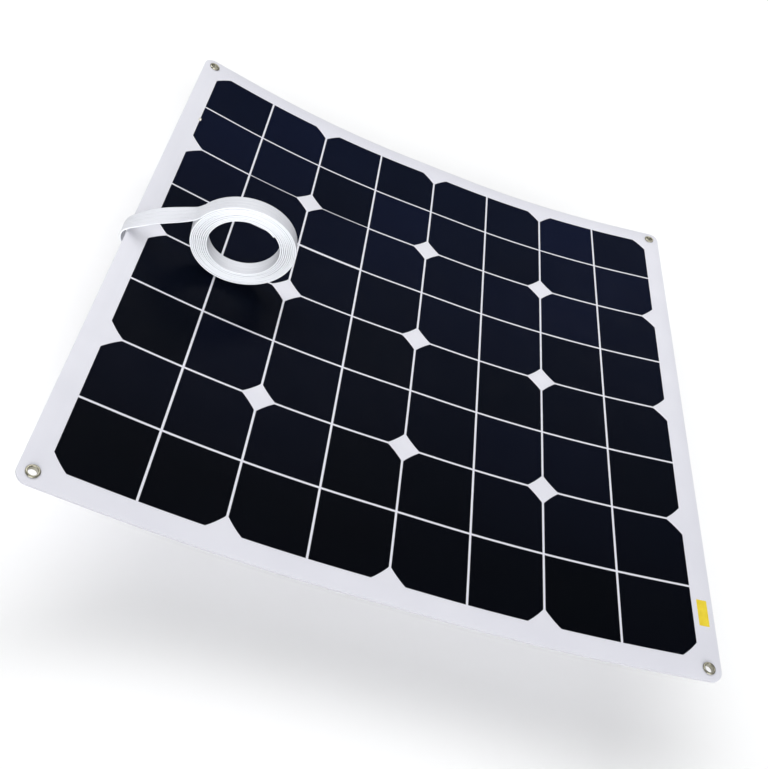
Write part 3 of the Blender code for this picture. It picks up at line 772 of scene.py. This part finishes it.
def eyelet_profile():
    """The mouth's crown, the flange, the barrel and the lip rolled under the washer."""
    top = FILM[1] + SEAT
    roll = BACKSHEET[0] - WASHER_T - 2 * SEAT
    inner, outer = CROWN_R
    slopes = ((outer, FLANGE_R - outer, 0), (inner, inner - BORE_R, pi / 2))
    crown = [arc(middle, top, reach, start, start + pi / 2, CROWN_STEPS, CROWN / reach)
             for middle, reach, start in slopes]
    return (arc(BORE_R + CURL_R, roll, CURL_R, pi, 2 * pi, CURL_STEPS, CURL_FLAT)
            + [(BARREL_R, roll), (BARREL_R, top)] + crown[0] + crown[1])


def add_eyelets(material):
    """An eyelet and its backing washer in each corner of the sheet."""
    washer_high = BACKSHEET[0] - SEAT
    washer = rounded_box(BARREL_R + 2 * SEAT, FLANGE_R, washer_high - WASHER_T, washer_high,
                         WASHER_EDGE_R, steps=4)
    for s, y, side_name, edge_name in eyelet_places():
        side = -1 if s < 0 else 1
        at = strip_frame(side) @ Matrix.Translation((s - side * STEPS * PITCH, y, 0))
        for node, profile in (("eyelet", eyelet_profile()), ("eyelet_washer", washer)):
            bm = turned(profile)
            bm.transform(at)
            piece = finished(f"{node}_ring_{edge_name}_{side_name}", bm, material, sharp=50)
            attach(piece, "strip_1" if side < 0 else "strip_8")
            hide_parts(f"{node}_{edge_name}_{side_name}")


# ---- junction box ---------------------------------------------------------------------------

SCREWS = 4
SCREW_SHANK_R = 1.0 * MM
SCREW_TIP = 0.6 * MM                            # length of its taper
SCREW_SIDES = 48
HEAD_T = 0.9 * MM
HEAD_EDGE_R = 0.3 * MM
HEAD_EDGE_STEPS = 5
RECESS_LENGTH = 2.6 * MM
RECESS_WIDTH = 0.5 * MM
RECESS_DEPTH = 0.5 * MM

MERGED_WITHIN = 0.002 * MM                      # corners closer than this become one,
FLAT_WITHIN = radians(1)                        # edges flatter than this are dissolved,
ROUNDED_OVER = radians(35)                      # and edges sharper than this are rounded

# Each moulded or stamped piece of the box, with the rounding of its edges.
SOFT_EDGES = {
    "box_adhesive_pad": 0.15 * MM, "box_base": 0.4 * MM, "box_gasket": 0.12 * MM,
    "box_lid": 0.45 * MM, "cable_collar": 0.3 * MM, "cable_clamp": 0.2 * MM,
    "terminal_pos": 0.08 * MM, "terminal_neg": 0.08 * MM, "bus_ribbon_pos": 0.04 * MM,
    "bus_ribbon_neg": 0.04 * MM, "bypass_diode": 0.12 * MM, "cable_tail_pos": 0.25 * MM,
    "cable_tail_neg": 0.25 * MM,
}


def slot_of(node):
    """The material slot that the record gives a CAD node."""
    return next(s["material_slot"] for s in frame["record"]["subparts"] if s["node"] == node)


def add_softened(node, width, material):
    """A CAD piece of the box with its edges rounded, standing for the plain one."""
    bm = bmesh.new()
    bm.from_mesh(frame["nodes"][node].data)
    for layer in list(bm.loops.layers.uv):
        bm.loops.layers.uv.remove(layer)
    bmesh.ops.remove_doubles(bm, verts=bm.verts, dist=MERGED_WITHIN)
    bmesh.ops.dissolve_limit(bm, angle_limit=FLAT_WITHIN, verts=bm.verts, edges=bm.edges)
    edges = [edge for edge in bm.edges if edge.calc_face_angle(0) > ROUNDED_OVER]
    bmesh.ops.bevel(bm, geom=edges, offset=width, offset_type="OFFSET", segments=3, profile=0.5,
                    affect="EDGES", clamp_overlap=True)
    bmesh.ops.recalc_face_normals(bm, faces=bm.faces)
    piece = finished(f"{node}_shape", bm, material, sharp=40)
    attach(piece, "strip_1")
    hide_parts(node)


def add_screw(node, material):
    """A pan-head screw with a cross recess in its head, which faces away from the sheet."""
    place = strip_frame(-1)
    corners = [place.inverted() @ vert.co for vert in frame["nodes"][node].data.vertices]
    low = Vector([min(corner[i] for corner in corners) for i in range(3)])
    high = Vector([max(corner[i] for corner in corners) for i in range(3)])
    middle = (low + high) / 2
    head_r = (high.x - low.x) / 2
    profile = (arc(head_r - HEAD_EDGE_R, low.z + HEAD_EDGE_R, HEAD_EDGE_R, -pi / 2, 0,
                   HEAD_EDGE_STEPS)
               + [(head_r, low.z + HEAD_T), (SCREW_SHANK_R, low.z + HEAD_T),
                  (SCREW_SHANK_R, high.z - SCREW_TIP), (SCREW_SHANK_R - SCREW_TIP / 2, high.z)])
    bm = turned(profile, SCREW_SIDES, closed=False)
    for length, width in ((RECESS_LENGTH, RECESS_WIDTH), (RECESS_WIDTH, RECESS_LENGTH)):
        arm = bmesh.new()
        plate_into(arm, [(-length / 2, -width / 2), (length / 2, -width / 2),
                         (length / 2, width / 2), (-length / 2, width / 2)],
                   low.z - RECESS_DEPTH, low.z + RECESS_DEPTH)
        bm = without(bm, arm)
    bm.transform(place @ Matrix.Translation((middle.x, middle.y, 0)))
    piece = finished(f"{node}_shape", bm, material, sharp=40)
    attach(piece, "strip_1")
    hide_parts(node)


def add_box(materials):
    """The junction box on the sheet's back, with what it holds and the lead's collar."""
    for node, width in SOFT_EDGES.items():
        slot = slot_of(node)
        add_softened(node, width, materials["core_sheath" if slot == "cable_sheath" else slot])
    for number in range(1, SCREWS + 1):
        add_screw(f"box_screw_{number}", materials["screw_steel"])


# ---- floor and light ------------------------------------------------------------------------

FLOOR_Z = -75 * MM                              # clear of the sheet's edges when it bends down
FLOOR_HALF = 6.0
FLOOR_FINISH = ((0.94, 0.94, 0.94), (0.96, 0.96, 0.96), 0.5, (0.8, 0.9), 5 * MM, 0.01 * MM)
WORLD_COLOUR = (0.965, 0.98, 1.0, 1)
WORLD_STRENGTH = (0.25, 0.85)                   # where it lights the sheet, and where it is seen
SUN_FROM = (0.15, -1.5, 0.6)                    # low over the near side
SUN_STRENGTH = 3.2
SUN_ANGLE = radians(60)                         # wide, so that its shadows are soft
SOFTBOX_AT = (-1.6, 2.6, 4.5)                   # high over the far side
SOFTBOX_POWER = 250
SOFTBOX_SIZE = (9.0, 1.6)


def add_floor():
    bm = bmesh.new()
    bmesh.ops.create_grid(bm, x_segments=1, y_segments=1, size=FLOOR_HALF)
    made = finished("floor", bm, surface("floor", *FLOOR_FINISH))
    made.location.z = FLOOR_Z


def add_light(name, kind, at, power, **shape):
    """A soft light of the given kind at a place, pointing at the sheet."""
    data = bpy.data.lights.new(name, kind)
    data.energy = power
    for key, value in shape.items():
        setattr(data, key, value)
    light = bpy.data.objects.new(name, data)
    light.location = at
    light.rotation_euler = (-Vector(at)).to_track_quat("-Z", "Y").to_euler()
    bpy.context.scene.collection.objects.link(light)


def add_world():
    """A pale surround, brighter where it is seen than where it lights."""
    world = bpy.data.worlds.new("studio")
    world.use_nodes = True
    nodes, links = world.node_tree.nodes, world.node_tree.links
    background = nodes["Background"]
    background.inputs["Color"].default_value = WORLD_COLOUR
    strength = nodes.new("ShaderNodeMapRange")
    for limit, value in zip(("To Min", "To Max"), WORLD_STRENGTH):
        strength.inputs[limit].default_value = value
    links.new(nodes.new("ShaderNodeLightPath").outputs["Is Camera Ray"], strength.inputs["Value"])
    links.new(strength.outputs["Result"], background.inputs["Strength"])
    bpy.context.scene.world = world


def add_studio():
    add_floor()
    add_world()
    add_light("front", "SUN", SUN_FROM, SUN_STRENGTH, angle=SUN_ANGLE)
    add_light("strip", "AREA", SOFTBOX_AT, SOFTBOX_POWER, shape="RECTANGLE", size=SOFTBOX_SIZE[0],
              size_y=SOFTBOX_SIZE[1])
    bpy.context.scene.view_settings.view_transform = "Standard"


# ---- everything -----------------------------------------------------------------------------

# Where (s, s, y, y) the plain yellow patch is, and a cell ribbon's end.
LABEL = (261.6 * MM, 270.4 * MM, -228.0 * MM, -204.5 * MM)
LABEL_CORNER_R = 0.6 * MM
RIBBON_END = (-258.4 * MM, -255.7 * MM, 169.0 * MM, 173.0 * MM)         # just out of the cells
RIBBON_CORNER_R = 0.3 * MM

add_camera()
materials = make_materials()
add_lead(materials["cable_sheath"])
add_layer("back_skin", BACKSHEET, BACKSHEET_RIMS, materials["white_backsheet"],
          "backsheet")
add_layer("white_fill", ENCAPSULANT, ENCAPSULANT_RIMS, materials["clear_encapsulant"],
          "rear_encapsulant")
add_cells(materials["silicon_cell"])
add_print("margin_label", rounded_box(*LABEL, LABEL_CORNER_R), PRINT, materials["yellow_print"],
          "strip_8")
add_print("ribbon_tab", rounded_box(*RIBBON_END, RIBBON_CORNER_R), RIBBON,
          materials["tinned_copper"], "strip_1")
add_layer("film", FILM, FILM_RIMS, materials["front_film"], "front_film")
add_eyelets(materials["nickel_plate"])
add_box(materials)
add_studio()
